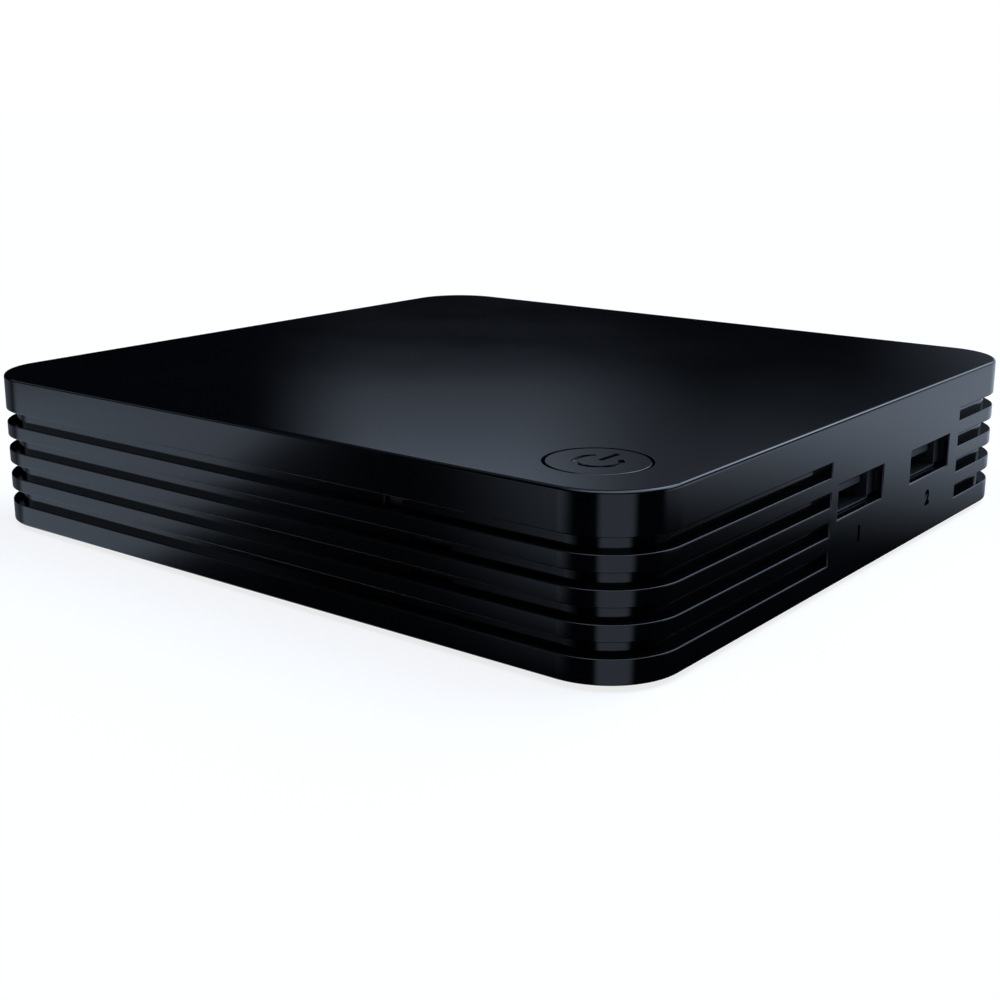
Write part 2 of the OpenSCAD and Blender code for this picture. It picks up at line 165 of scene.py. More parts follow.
# %% The sky of soft boxes
SOFT_BOXES = [
    # from and to as (degrees, softness), azimuth then elevation, lean, strength
    ("front_left", (-157, 22), (-137.6, 2.5), (-60, 4), (-9.6, 4.5), 1.0, 0.84),
    ("front_left_high", (-165, 10), (-137, 6), (8, 6), (24, 8), 0.0, 0.4),
    ("left_rest", (-230, 20), (-165, 20), (-60, 4), (-8, 6), 0.0, 0.15),
    ("left_low", (-215, 20), (-165, 20), (-60, 4), (-19, 5), 0.0, 0.4),
    ("front_fill", (-126.5, 8), (-112, 28), (-19, 11), (4, 8), 0.0, 0.55),
    ("near_corner", (-68, 10), (-21, 12), (-60, 4), (16, 8), 0.0, 0.61),
    ("right_side", (22, 12), (105, 20), (-14.2, 5.5), (10, 8), 0.0, 0.74),
    ("behind", (124.6, 6), (134.4, 5), (14.2, 4.5), (34, 10), 0.0, 0.27),
    ("behind_low", (123, 8), (134.8, 5), (11.0, 1.4), (34, 10), 0.0, 0.13),
    ("behind_right", (100, 20), (122, 8), (13.0, 4.5), (32, 10), 0.0, 0.1),
    ("rear_low", (115, 12), (160, 20), (-60, 4), (-19, 4), 0.0, 0.5),
    ("above_right", (35, 20), (97, 12), (27, 9), (60, 20), 0.0, 2.3),
    ("above_right_low", (75, 6), (97, 10), (14, 5), (30, 6), 0.0, 1.5),
    ("overhead", (-400, 4), (400, 4), (52, 24), (200, 4), 0.0, 0.35),
    ("overhead_front", (-125, 20), (100, 20), (48, 24), (200, 4), 0.0, 1.9),
]
SKY_TINT = (0.84, 1.0, 1.25, 1)
DARK_SKY = 0.0005
LEAN_FROM = 14  # a leaning edge is at its own azimuth this far below the horizon
PAST_THE_SEAM = (-400, -180)  # a box that starts here is drawn a full turn on as well

world = bpy.data.worlds.new("studio")
bpy.context.scene.world = world
world.use_nodes = True
sky = world.node_tree
background = sky.nodes["Background"]
direction = Value(sky, sky.nodes.new("ShaderNodeTexCoord").outputs["Generated"])
parts = direction.node("ShaderNodeSeparateXYZ", i0=direction)
dx, dy, dz = (Value(sky, parts.socket.node.outputs[n]) for n in range(3))
azimuth = dx.maths("ARCTAN2", dy, dx) * math.degrees(1)
elevation = dz.maths("ARCSINE", dz) * math.degrees(1)


def band(angle, low, high):
    """1 between low and high, with a smooth step as wide as its softness at each."""
    rise = angle.ramp(low[0] - low[1] / 2, low[0] + low[1] / 2)
    fall = angle.ramp(high[0] + high[1] / 2, high[0] - high[1] / 2)
    return rise * fall


glow = elevation * 0.0 + DARK_SKY
for name, left, right, bottom, top, lean, strength in SOFT_BOXES:
    turned = azimuth - (elevation + LEAN_FROM) * lean if lean else azimuth
    across = band(turned, left, right)
    if PAST_THE_SEAM[0] < left[0] < PAST_THE_SEAM[1]:
        full_turn = [(angle + 360, softness) for angle, softness in (left, right)]
        across = across + band(turned, *full_turn)
    glow = glow + across * band(elevation, bottom, top) * strength
background.inputs["Color"].default_value = SKY_TINT
direction.join(glow, background.inputs["Strength"])
print("soft boxes:", len(SOFT_BOXES))

# %% [markdown]
# The floor and the backdrop are stage pieces: they are there to be looked at, and the
# object's gloss and shading pass through them to the soft boxes. Each gives off an even
# light of its own, and the floor adds a little of what falls on it, so that the box's
# feet leave a faint shadow. Seen from below the floor is clear, as a glass table would
# be, so that the underside can be looked at too.

# %% The floor and the backdrop
def even_white(name, glow, matt):
    """A matt white that gives off its own light too."""
    material = bpy.data.materials.new(name)
    material.use_nodes = True
    shader = material.node_tree.nodes["Principled BSDF"]
    shader.inputs["Base Color"].default_value = (matt, matt, matt, 1)
    shader.inputs["Roughness"].default_value = 1
    shader.inputs["Specular IOR Level"].default_value = 0
    shader.inputs["Emission Color"].default_value = (1, 1, 1, 1)
    shader.inputs["Emission Strength"].default_value = glow
    return material


def clear_from_below(material):
    """Lets the camera through the back of a face."""
    tree = material.node_tree
    back = Value(tree, tree.nodes.new("ShaderNodeNewGeometry").outputs["Backfacing"])
    clear = back.node("ShaderNodeBsdfTransparent")
    front = Value(tree, tree.nodes["Principled BSDF"].outputs["BSDF"])
    mixed = back.node("ShaderNodeMixShader", i0=back, i1=front, i2=clear)
    back.join(mixed, tree.nodes["Material Output"].inputs["Surface"])
    return material


def only_for_the_camera(obj, material):
    """Gives a stage piece its material, and hides it from every ray but the camera's."""
    obj.data.materials.append(material)
    obj.visible_glossy = obj.visible_diffuse = obj.visible_shadow = False
    obj.visible_transmission = False


stage_r = 4
bpy.ops.object.select_all(action="DESELECT")
bpy.ops.mesh.primitive_circle_add(vertices=96, radius=stage_r, fill_type="NGON", location=(0, 0, 0))
floor = bpy.context.object
floor.name = "floor"
only_for_the_camera(floor, clear_from_below(even_white("pale_floor", 0.8, 0.25)))
bpy.ops.mesh.primitive_uv_sphere_add(segments=48, ring_count=24, radius=stage_r, location=(0, 0, 0))
backdrop = bpy.context.object
backdrop.name = "backdrop"
only_for_the_camera(backdrop, even_white("pale_backdrop", 1.0, 0.0))
bpy.context.scene.view_settings.view_transform = "Standard"
print("stage:", floor.name, backdrop.name, "radius", stage_r, "m")

# %% [markdown]
# ## Helpers for modelling
# Operators act on whatever is selected, and loading the frame leaves its parts selected.
# So every step first says which object it works on, and edges and faces are picked in
# code, by where they are and which way they face, as an eye would pick them.

# %% Selecting
import bmesh


def only(obj):
    """Selects this object alone, in object mode."""
    if bpy.context.object and bpy.context.object.mode != "OBJECT":
        bpy.ops.object.mode_set(mode="OBJECT")
    bpy.ops.object.select_all(action="DESELECT")
    obj.select_set(True)
    bpy.context.view_layer.objects.active = obj


def pick(obj, kind, rule):
    """Goes into edit mode and selects the VERT, EDGE or FACE items that the rule accepts."""
    only(obj)
    bpy.context.tool_settings.mesh_select_mode = [kind == k for k in ("VERT", "EDGE", "FACE")]
    bpy.ops.object.mode_set(mode="EDIT")
    bpy.ops.mesh.select_all(action="DESELECT")
    shape = bmesh.from_edit_mesh(obj.data)
    shape.normal_update()
    items = {"VERT": shape.verts, "EDGE": shape.edges, "FACE": shape.faces}[kind]
    chosen = [item for item in items if rule(item)]
    for item in chosen:
        item.select_set(True)
    bmesh.update_edit_mesh(obj.data)
    return len(chosen)


def done():
    """Goes back to object mode, which writes the edited mesh."""
    bpy.ops.object.mode_set(mode="OBJECT")


def middle(item):
    """The middle of an edge or face, in millimetres."""
    return sum((v.co for v in item.verts), Vector()) / len(item.verts) / MM


def outer_corner(edge, degrees=40):
    """Whether an edge is a sharp outward one."""
    return len(edge.link_faces) == 2 and edge.calc_face_angle_signed(0) > math.radians(degrees)


print("picking helpers ready")

# %% [markdown]
# Cutters and cores are simple solids. Each starts as a primitive at its size and place,
# and its place is then applied, so that its mesh is in the object's own frame. A boolean
# joins or cuts them, and the exact solver copes with faces that touch.

# %% Simple solids
def placed(name):
    """Names the new primitive and puts its place into its mesh."""
    obj = bpy.context.object
    obj.name = obj.data.name = name
    bpy.ops.object.transform_apply(location=True, rotation=True, scale=True)
    return obj


def block(low, high, corner=0.0, segments=16, name="block"):
    """A box between two corners in millimetres, with rounded upright corners if asked."""
    bpy.ops.object.select_all(action="DESELECT")
    centre = [(a + b) / 2 * MM for a, b in zip(low, high)]
    bpy.ops.mesh.primitive_cube_add(size=1, location=centre)
    bpy.context.object.scale = [(b - a) * MM for a, b in zip(low, high)]
    obj = placed(name)
    if corner:
        pick(obj, "EDGE", lambda e: abs(e.verts[0].co.z - e.verts[1].co.z) > 1e-6)
        bpy.ops.mesh.bevel(offset=corner * MM, segments=segments, affect="EDGES")
        done()
    return obj


def rod(centre, radius, length, axis="Z", sides=96, name="rod"):
    """A cylinder round its middle point, in millimetres, along one axis."""
    bpy.ops.object.select_all(action="DESELECT")
    turn = {"X": (0, math.pi / 2, 0), "Y": (math.pi / 2, 0, 0), "Z": (0, 0, 0)}[axis]
    bpy.ops.mesh.primitive_cylinder_add(
        vertices=sides, radius=radius * MM, depth=length * MM,
        location=[c * MM for c in centre], rotation=turn,
    )
    return placed(name)


print("solids: block, rod")

# %% Cutting, joining and rounding
def combine(obj, tool, how):
    """Cuts (DIFFERENCE) or joins (UNION) the tool, which is used up."""
    only(obj)
    modifier = obj.modifiers.new("combine", "BOOLEAN")
    modifier.operation = how
    modifier.solver = "EXACT"
    modifier.object = tool
    bpy.ops.object.modifier_apply(modifier=modifier.name)
    only(tool)
    bpy.ops.object.delete()
    only(obj)
    return obj


def cut(obj, tool):
    return combine(obj, tool, "DIFFERENCE")


def join(obj, tool):
    return combine(obj, tool, "UNION")


def round_edges(obj, width, segments, rule):
    """Bevels the edges that the rule accepts, to a radius in millimetres."""
    count = pick(obj, "EDGE", rule)
    if count:
        bpy.ops.mesh.bevel(offset=width * MM, segments=segments, profile=0.5, affect="EDGES")
    done()
    return count


def smooth(obj, degrees=32):
    """Smooth shading over curves and small rounds, with the flat faces kept flat."""
    only(obj)
    bpy.ops.object.shade_smooth_by_angle(angle=math.radians(degrees))
    modifier = obj.modifiers.new("weighted", "WEIGHTED_NORMAL")
    modifier.keep_sharp = True
    bpy.ops.object.modifier_apply(modifier=modifier.name)
    return obj


print("on solids: cut, join, round_edges, smooth")

# %% [markdown]
# ## The housing's outline and grooves
# The real housing is one moulding: a rounded box with four grooves running round it,
# which stop at the flat panels that the sockets look through. It could be a block with
# rings cut out of it. Here it grows as the mould does, layer on layer: the outline is a
# plane with its corners rounded, it is marked where the flat panels start, and it is
# extruded up through the height of each groove and fin. The groove faces then go
# inwards together, which keeps the corners' arcs concentric.

# %% Sizes of the housing
half_w, half_d = 73.0, 70.0
corner_r = 12.5
z_low, z_top = 1.0, 29.0
groove_zs = [(5.0, 7.4), (10.0, 12.4), (15.0, 17.4), (20.0, 22.4)]
groove_depth = 1.8
side_panel = (-11.2, 42.8)
rear_panel = (-52.0, 52.0)
side_wall, panel_wall, pocket_end = 3.4, 2.6, 1.6
z_floor, z_ceiling = 3.0, 27.0
low, high = (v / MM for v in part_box("housing"))
print("housing in the frame:", [round(x, 2) for x in (*low, *high)])

# %% Outline, layers and grooves
bpy.ops.object.select_all(action="DESELECT")
bpy.ops.mesh.primitive_plane_add(size=1, location=(0, 0, z_low * MM))
bpy.context.object.scale = (2 * half_w * MM, 2 * half_d * MM, 1)
housing = placed("housing_shell")
pick(housing, "VERT", lambda v: True)
bpy.ops.mesh.bevel(offset=corner_r * MM, segments=28, profile=0.5, affect="VERTICES")
for x in rear_panel:
    bpy.ops.mesh.select_all(action="SELECT")
    bpy.ops.mesh.bisect(plane_co=(x * MM, 0, 0), plane_no=(1, 0, 0))
for y in side_panel:
    bpy.ops.mesh.select_all(action="SELECT")
    bpy.ops.mesh.bisect(plane_co=(0, y * MM, 0), plane_no=(0, 1, 0))
bpy.ops.mesh.select_all(action="SELECT")
levels = sorted({z_low, z_top, *(z for pair in groove_zs for z in pair)})
for below, above in zip(levels, levels[1:]):
    bpy.ops.mesh.extrude_region_move(TRANSFORM_OT_translate={"value": (0, 0, (above - below) * MM)})
bpy.ops.mesh.select_all(action="SELECT")
bpy.ops.mesh.normals_make_consistent(inside=False)
done()


def in_groove(face):
    """Whether a wall face is in a groove's height and off the flat panels."""
    x, y, z = middle(face)
    if abs(face.normal.z) > 0.5 or not any(a < z < b for a, b in groove_zs):
        return False
    on_side = x > half_w - 0.01 and side_panel[0] < y < side_panel[1]
    on_rear = y > half_d - 0.01 and rear_panel[0] < x < rear_panel[1]
    return not (on_side or on_rear)


count = pick(housing, "FACE", in_groove)
bpy.ops.mesh.extrude_region_shrink_fatten(
    TRANSFORM_OT_shrink_fatten={"value": -groove_depth * MM, "use_even_offset": True}
)
done()
print("groove faces:", count, "housing", [round(v, 2) for v in housing.dimensions / MM])

# %% [markdown]
# ## Rounding the housing's edges
# A mould's sharp edges print as small rounds, and each catches a thin line of light from
# the soft box above. The rim of the top is softest, the grooves' lips are crisp, and the
# bottom rim lies between. Each edge is picked by where it lies on the outline.

# %% Rounds of the outline
def on_outline(co, slack=0.05):
    """Whether a point in millimetres is on the body's outer outline."""
    x, y = abs(co.x), abs(co.y)
    dx, dy = x - (half_w - corner_r), y - (half_d - corner_r)
    reach = math.hypot(dx, dy) - corner_r if dx > 0 and dy > 0 else max(x - half_w, y - half_d)
    return abs(reach) < slack


def edge_on_outline(edge):
    """Whether a sharp edge follows the body's outer outline."""
    return all(on_outline(v.co / MM) for v in edge.verts) and outer_corner(edge)


def flat_at(edge, z):
    """Whether an edge lies level at this height, in millimetres."""
    return all(abs(v.co.z / MM - z) < 0.01 for v in edge.verts)


top_round, bottom_round, lip_round = 0.65, 0.4, 0.2
counts = [
    round_edges(housing, top_round, 5, lambda e: flat_at(e, z_top) and edge_on_outline(e)),
    round_edges(housing, bottom_round, 3, lambda e: flat_at(e, z_low) and edge_on_outline(e)),
    round_edges(
        housing, lip_round, 3,
        lambda e: edge_on_outline(e) and z_low + 1 < middle(e).z < z_top - 1,
    ),
]
pick(housing, "FACE", lambda f: True)
bpy.ops.mesh.dissolve_limited(angle_limit=math.radians(0.4))
done()
print("edges rounded, top, bottom and lips:", counts, "faces", len(housing.data.polygons))

# %% [markdown]
# ## Hollowing and cutting the housing
# Behind the grooves the wall is 1.6 mm, and behind the flat panels a pocket leaves
# 2.6 mm, so the moulding is hollow and open at the bottom, where the cover sits inside
# a rim. The hollow is cut first, then the screw bosses and the button's guide tube join
# its ceiling, and last come the openings, which go through whatever is there. Cutters
# that share a space start at different heights, so that their undersides don't coincide.

# %% The hollow
def inset_block(inset, z0, z1):
    """A block with the body's outline, inset all round."""
    return block(
        (-half_w + inset, -half_d + inset, z0), (half_w - inset, half_d - inset, z1),
        corner_r - inset, 24,
    )


cover_rim = 1.8
cut(housing, inset_block(side_wall, z_floor - 0.5, z_ceiling))
cut(housing, block(
    (half_w - side_wall - 1, side_panel[0] + pocket_end, z_floor - 0.4),
    (half_w - panel_wall, side_panel[1] - pocket_end, z_ceiling),
))
cut(housing, block(
    (rear_panel[0] + pocket_end, half_d - side_wall - 1, z_floor - 0.4),
    (rear_panel[1] - pocket_end, half_d - panel_wall, z_ceiling),
))
cut(housing, inset_block(cover_rim, z_low - 1, z_floor))
print("hollowed, faces:", len(housing.data.polygons))

# %% Bosses and the button's guide tube
button_at = Vector((57.0, -55.0))
guide_r, hole_r = 9.4, 8.2
boss_r, screw_r = 3.2, 1.3
boss_x, boss_ys = 63.5, (-40.0, 58.0)
for x in (-boss_x, boss_x):
    for y in boss_ys:
        join(housing, rod((x, y, 15.2), boss_r, 24.4, sides=48))
        cut(housing, rod((x, y, 7), screw_r, 10, sides=32))
join(housing, rod((*button_at, 26.4), guide_r, 3.2))
cut(housing, rod((*button_at, 27), hole_r, 8))
print("with bosses and guide tube:", len(housing.data.polygons), "faces")

# %% [markdown]
# The openings in the panels are each a little larger than the socket behind, so that a
# plug's shroud passes. Their lips are rounded like the rest, and the windows in the
# grooves are plain slots.

# %% Openings in the panels and windows
usb_ys = (0.4, 29.6)
usb_half, usb_z0, usb_z1 = 8.7, 12.25, 18.15
for y in usb_ys:
    cut(housing, block((69, y - usb_half, usb_z0), (75, y + usb_half, usb_z1), name="usb_cut"))
rear_cuts = {"hdmi": (-2.0, 8.2, 11.44, 18.39), "network": (24.0, 6.9, 13.34, 25.44)}
for x, half, z0, z1 in rear_cuts.values():
    cut(housing, block((x - half, 66, z0), (x + half, 72, z1)))
round_cuts = {"power": (-38.0, 18.84, 4.1), "sound": (-22.0, 15.64, 3.15)}
for x, z, radius in round_cuts.values():
    cut(housing, rod((x, 69, z), radius, 6, axis="Y", sides=64))
window_slots = [(36.5, 4.1, 10.0), (36.5, 4.1, 15.0), (29.2, 1.8, 20.0)]
window_h = 2.4
for x, half, z0 in window_slots:
    cut(housing, block((x - half, -69, z0), (x + half, -64, z0 + window_h)))
print("with openings:", len(housing.data.polygons), "faces")

# %% Rounds of the openings
lip_slack = 0.1  # how far past an opening's edge its lip is still looked for


def on_opening(edge):
    """Whether an edge is the outer lip of an opening in a flat panel."""
    if not outer_corner(edge):
        return False
    ends = [v.co / MM for v in edge.verts]
    m = middle(edge)
    if all(abs(p.x - half_w) < 0.01 for p in ends):
        level = usb_z0 - lip_slack < m.z < usb_z1 + lip_slack
        return level and any(abs(m.y - y) < usb_half + lip_slack for y in usb_ys)
    if all(abs(p.y - half_d) < 0.01 for p in ends):
        boxes = [
            abs(m.x - x) < half + lip_slack and z0 - lip_slack < m.z < z1 + lip_slack
            for x, half, z0, z1 in rear_cuts.values()
        ]
        rings = [math.hypot(m.x - x, m.z - z) < r + lip_slack for x, z, r in round_cuts.values()]
        return any(boxes) or any(rings)
    return False


def on_button_hole(edge):
    """Whether an edge is the rim of the button's hole, in the top."""
    near = (Vector(middle(edge)[:2]) - button_at).length
    return flat_at(edge, z_top) and near < hole_r + 0.2 and outer_corner(edge)


def on_window_end(edge):
    """Whether an edge is the upright end of a window, in the groove's back wall."""
    m = middle(edge)
    upright = (edge.verts[0].co - edge.verts[1].co).length > 2 * MM
    ends = [abs(m.x - x) - half for x, half, z0 in window_slots if z0 < m.z < z0 + window_h]
    at_wall = abs(m.y + half_d - groove_depth) < 0.02
    return upright and at_wall and any(abs(end) < 0.02 for end in ends)


print("lips rounded:", round_edges(housing, 0.25, 3, on_opening),
      "button hole:", round_edges(housing, 0.06, 2, on_button_hole),
      "window ends:", round_edges(housing, 0.16, 3, on_window_end))

# %% [markdown]
# ## The socket numbers
# The sockets are told apart by a number under each. On a real housing they are printed
# or etched in a flat dark ink. A text object gives the shape: it is made a mesh first,
# then turned to face outwards. One copy cuts a shallow bed in the panel, and a thinner
# one lies in the bed as the ink.

# %% Numbers under the USB sockets
number_h, number_z = 2.5, 6.7
text_size_for_h = 1 / 0.7  # the font's digits are 0.7 of its size high
boldness, bed_depth = 0.24, 0.12


def number(digit, y, proud, deep):
    """The digit as a solid in the side panel's face, from deep inside it to proud of it."""
    bpy.ops.object.select_all(action="DESELECT")
    bpy.ops.object.text_add(location=(0, 0, 0))
    text = bpy.context.object
    text.data.body = digit
    text.data.align_x = "CENTER"
    text.data.size = number_h * text_size_for_h * MM
    text.data.extrude = (proud + deep) / 2 * MM
    text.data.offset = boldness * MM
    bpy.ops.object.convert(target="MESH")
    solid = bpy.context.object
    solid.rotation_euler = (math.pi / 2, 0, math.pi / 2)
    solid.location = Vector((half_w + (proud - deep) / 2, y, number_z)) * MM
    placed("number_" + digit)
    pick(solid, "VERT", lambda v: True)
    bpy.ops.mesh.remove_doubles(threshold=0.002 * MM)
    bpy.ops.mesh.normals_make_consistent(inside=False)
    done()
    return solid


number_pieces = []
for digit, y in zip("12", usb_ys):
    cut(housing, number(digit, y, 0.5, bed_depth))
    number_pieces.append(number(digit, y, -0.02, bed_depth))
    print("number", digit, "is", [round(v, 2) for v in number_pieces[-1].dimensions / MM], "mm")
smooth(housing)
print("housing faces:", len(housing.data.polygons),
      "box", [round(v, 2) for v in housing.dimensions / MM])

# %% [markdown]
# ## The power button
# The cap is a turned-looking moulding: a disc with a soft rim, a skirt that slides in the
# housing's guide tube, three hooks that stop it coming out, and a stem down to the
# switch. It starts as a cylinder whose underside is inset and pushed up to leave the
# skirt. The mark on it is the common sign for power, cut with slightly drafted walls, as
# a mould needs to let go, and those slopes are what catches the light.

# %% Cap, skirt, stem and hooks
cap_r, cap_wall, skirt_h, symbol_depth = 7.8, 1.4, 5.0, 0.3
cap = rod((*button_at, z_top - skirt_h / 2), cap_r, skirt_h, sides=128, name="button_cap")
pick(cap, "FACE", lambda f: f.normal.z < -0.9)
bpy.ops.mesh.inset(thickness=cap_wall * MM)
bpy.ops.mesh.extrude_region_move(
    TRANSFORM_OT_translate={"value": (0, 0, (skirt_h - cap_wall) * MM)}
)
done()
stem_r, stem_low, stem_high = 2.0, 17.34, z_top - 1
join(cap, rod((*button_at, (stem_low + stem_high) / 2), stem_r, stem_high - stem_low, sides=48))
hooks, hook_reach, hook_half_w, hook_below = 3, 1.15, 1.5, (5.2, 4.25)
for n in range(hooks):
    hook = block(
        (cap_r - 1, -hook_half_w, z_top - hook_below[0]),
        (cap_r + hook_reach, hook_half_w, z_top - hook_below[1]),
    )
    hook.rotation_euler.z = math.radians(360 / hooks * n)
    hook.location = (*(button_at * MM), 0)
    only(hook)
    bpy.ops.object.transform_apply(location=True, rotation=True, scale=True)
    join(cap, hook)
print("cap:", len(cap.data.polygons), "faces", [round(v, 2) for v in cap.dimensions / MM])

# %% The sign's ring
symbol_r, symbol_line, symbol_gap, symbol_bar = 3.4, 1.0, 40, (0.4, 5.3)
draft = 0.09


def drafted(obj):
    """Narrows a cutter's underside, so that the walls it leaves slope."""
    pick(obj, "FACE", lambda f: f.normal.z < -0.9)
    bpy.ops.mesh.inset(thickness=draft * MM)
    done()


floor_z = z_top - symbol_depth
line_lo, line_hi = symbol_r - symbol_line / 2, symbol_r + symbol_line / 2
ring = block((-0.01, line_lo, floor_z), (0.01, line_hi, z_top + 0.3), name="ring")
pick(ring, "FACE", lambda f: f.normal.x < 0.9)
bpy.ops.mesh.delete(type="FACE")
done()
pick(ring, "VERT", lambda v: v.co.z < z_top * MM)
bpy.ops.transform.resize(
    value=(1, (symbol_line - 2 * draft) / symbol_line, 1),
    center_override=(0, symbol_r * MM, floor_z * MM),
)
done()
pick(ring, "VERT", lambda v: True)
bpy.ops.transform.rotate(
    value=math.radians(symbol_gap), orient_axis="Z", center_override=(0, 0, floor_z * MM)
)
side = math.copysign(1, bmesh.from_edit_mesh(ring.data).verts[:][0].co.x)
bpy.ops.mesh.select_all(action="SELECT")
bpy.ops.mesh.spin(
    steps=80, angle=math.radians(360 - 2 * symbol_gap) * side,
    center=(0, 0, floor_z * MM), axis=(0, 0, 1),
)
bpy.ops.mesh.select_all(action="SELECT")
bpy.ops.mesh.remove_doubles(threshold=0.001 * MM)
bpy.ops.mesh.normals_make_consistent(inside=False)
done()
only(ring)
ring.location = (*(button_at * MM), 0)
bpy.ops.object.transform_apply(location=True, rotation=True, scale=True)
reach = [v.co / MM - Vector((*button_at, 0)) for v in ring.data.vertices]
print("ring reaches", [round(f(v[axis] for v in reach), 2) for axis in (0, 1) for f in (min, max)])

# %% The sign's bar, and both cuts
bar = block(
    (button_at.x - symbol_line / 2, button_at.y + symbol_bar[0], floor_z),
    (button_at.x + symbol_line / 2, button_at.y + symbol_bar[1], z_top + 0.3), name="bar",
)
pick(bar, "VERT", lambda v: v.co.z < z_top * MM)
bpy.ops.transform.resize(
    value=((symbol_line - 2 * draft) / symbol_line, 0.96, 1),
    center_override=(button_at.x * MM, (button_at.y + sum(symbol_bar) / 2) * MM, floor_z * MM),
)
done()
cut(cap, ring)
cut(cap, bar)
print("sign cut:", len(cap.data.polygons), "faces")

# %% Rounds of the cap
def on_cap_rim(edge):
    """Whether an edge is the outer rim of the cap's face."""
    far = (Vector(middle(edge)[:2]) - button_at).length
    return flat_at(edge, z_top) and far > cap_r - 0.1 and outer_corner(edge)


def on_symbol(edge):
    """Whether an edge is a lip of the sign for power."""
    far = (Vector(middle(edge)[:2]) - button_at).length
    return flat_at(edge, z_top) and far < 6 and outer_corner(edge, 30)


print("rim", round_edges(cap, 0.22, 4, on_cap_rim),
      "symbol", round_edges(cap, 0.06, 2, on_symbol))
smooth(cap, 28)

# %% [markdown]
# ## Soft edges on the pressed and moulded parts
# The frame's sockets, cover, feet and screws have the right shape, with edges as sharp
# as a drawing. Pressed steel and mouldings never have such edges, so each visible part
# is copied, its loose triangles are merged into faces again, and every edge gets a
# small round of the size its process leaves: finer in steel than in rubber.

# %% Softened copies of the visible parts
def softened(node, width, name, segments=2):
    """A copy of a CAD node with rounded edges, in its own mesh."""
    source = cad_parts[node]
    obj = bpy.data.objects.new(name, source.data.copy())
    bpy.context.scene.collection.objects.link(obj)
    obj.data.materials.clear()
    pick(obj, "VERT", lambda v: True)
    bpy.ops.mesh.remove_doubles(threshold=0.0005 * MM)
    bpy.ops.mesh.dissolve_limited(angle_limit=math.radians(0.5))
    done()
    modifier = obj.modifiers.new("round", "BEVEL")
    modifier.width = width * MM
    modifier.segments = segments
    modifier.limit_method = "ANGLE"
    modifier.angle_limit = math.radians(40)
    modifier.use_clamp_overlap = True
    bpy.ops.object.modifier_apply(modifier=modifier.name)
    return smooth(obj)


SOFTENED = {
    # node: new name, round in mm, material slot
    "bottom_cover": ("cover_plate", 0.2, "body_plastic"),
    "rubber_feet": ("foot_pads", 0.35, "foot_rubber"),
    "case_screws": ("cover_screws", 0.08, "screw_steel"),
    "usb_port_1_shell": ("usb_1_steel", 0.06, "socket_steel"),
    "usb_port_2_shell": ("usb_2_steel", 0.06, "socket_steel"),
    "usb_port_1_insulator": ("usb_1_tongue", 0.12, "socket_plastic"),
    "usb_port_2_insulator": ("usb_2_tongue", 0.12, "socket_plastic"),
    "usb_contacts": ("usb_springs", 0.05, "contact_gold"),
    "hdmi_shell": ("hdmi_steel", 0.08, "socket_steel"),
    "hdmi_insulator": ("hdmi_tongue", 0.1, "socket_plastic"),
    "network_jack": ("network_socket_can", 0.12, "socket_steel"),
    "network_contacts": ("network_springs", 0.05, "contact_gold"),
    "power_inlet": ("power_socket_body", 0.15, "socket_plastic"),
    "power_inlet_pin": ("power_socket_pin", 0.2, "socket_steel"),
    "av_jack": ("sound_jack_body", 0.15, "jack_green"),
    "ir_window": ("receiver_window", 0.08, "window_plastic"),
    "light_guide": ("status_light_guide", 0.1, "light_guide_smoke"),
}
visible = {}
for node, (name, width, slot) in SOFTENED.items():
    visible[node] = softened(node, width, name)
print("softened:", {n: len(o.data.polygons) for n, o in visible.items()})

# %% [markdown]
# ## Finishes
# A finish here is a small procedural formula on a principled shader, read in the part's
# own space, so that it stays put when the part moves. A class holds the shader and the
# part's coordinates. Each finish then says three things: what its colour does from
# place to place, how rough it is, and what fine relief catches the light.

# %% The finish class
class Finish:
    """A principled material whose formulas read the piece's own coordinates."""

    def __init__(self, name, **fixed):
        self.material = bpy.data.materials.new(name)
        self.material.use_nodes = True
        self.tree = self.material.node_tree
        self.shader = self.tree.nodes["Principled BSDF"]
        self.place = Value(self.tree, self.tree.nodes.new("ShaderNodeTexCoord").outputs["Object"])
        for socket, value in fixed.items():
            self.shader.inputs[socket.replace("_", " ")].default_value = value

    def noise(self, scale, detail=2.0, stretch=(1, 1, 1)):
        """Noise whose grain is scale to the metre, stretched along an axis if asked."""
        where = self.place.node("ShaderNodeMapping", Vector=self.place, Scale=stretch)
        return where.node("ShaderNodeTexNoise", Vector=where, Scale=scale, Detail=detail)

    def between(self, a, b, mask):
        """Colour a where the mask is 0 and b where it is 1."""
        settings = {"data_type": "RGBA"}
        return mask.node("ShaderNodeMix", settings, output=2, i0=mask, i6=(*a, 1), i7=(*b, 1))

    def drive(self, socket, value):
        value.join(value, self.shader.inputs[socket])

    def relief(self, height, depth, strength=1.0):
        """Bumps as high as depth, in millimetres, where height is 1."""
        bump = height.node("ShaderNodeBump", Height=height, Distance=depth * MM, Strength=strength)
        self.drive("Normal", bump)


finishes = {}
print("a finish can use:", [n for n in vars(Finish) if n[0] != "_"])

# %% [markdown]
# The body is black moulded plastic with a near-polished face: almost no colour of its
# own, and a gloss that blurs a reflection by about a degree. A fine grain from the
# mould's face breaks the gloss up, and slow patches make it a little duller here and
# there, as handling does. The button is moulded in the same plastic from its own tool,
# with a slightly finer face.

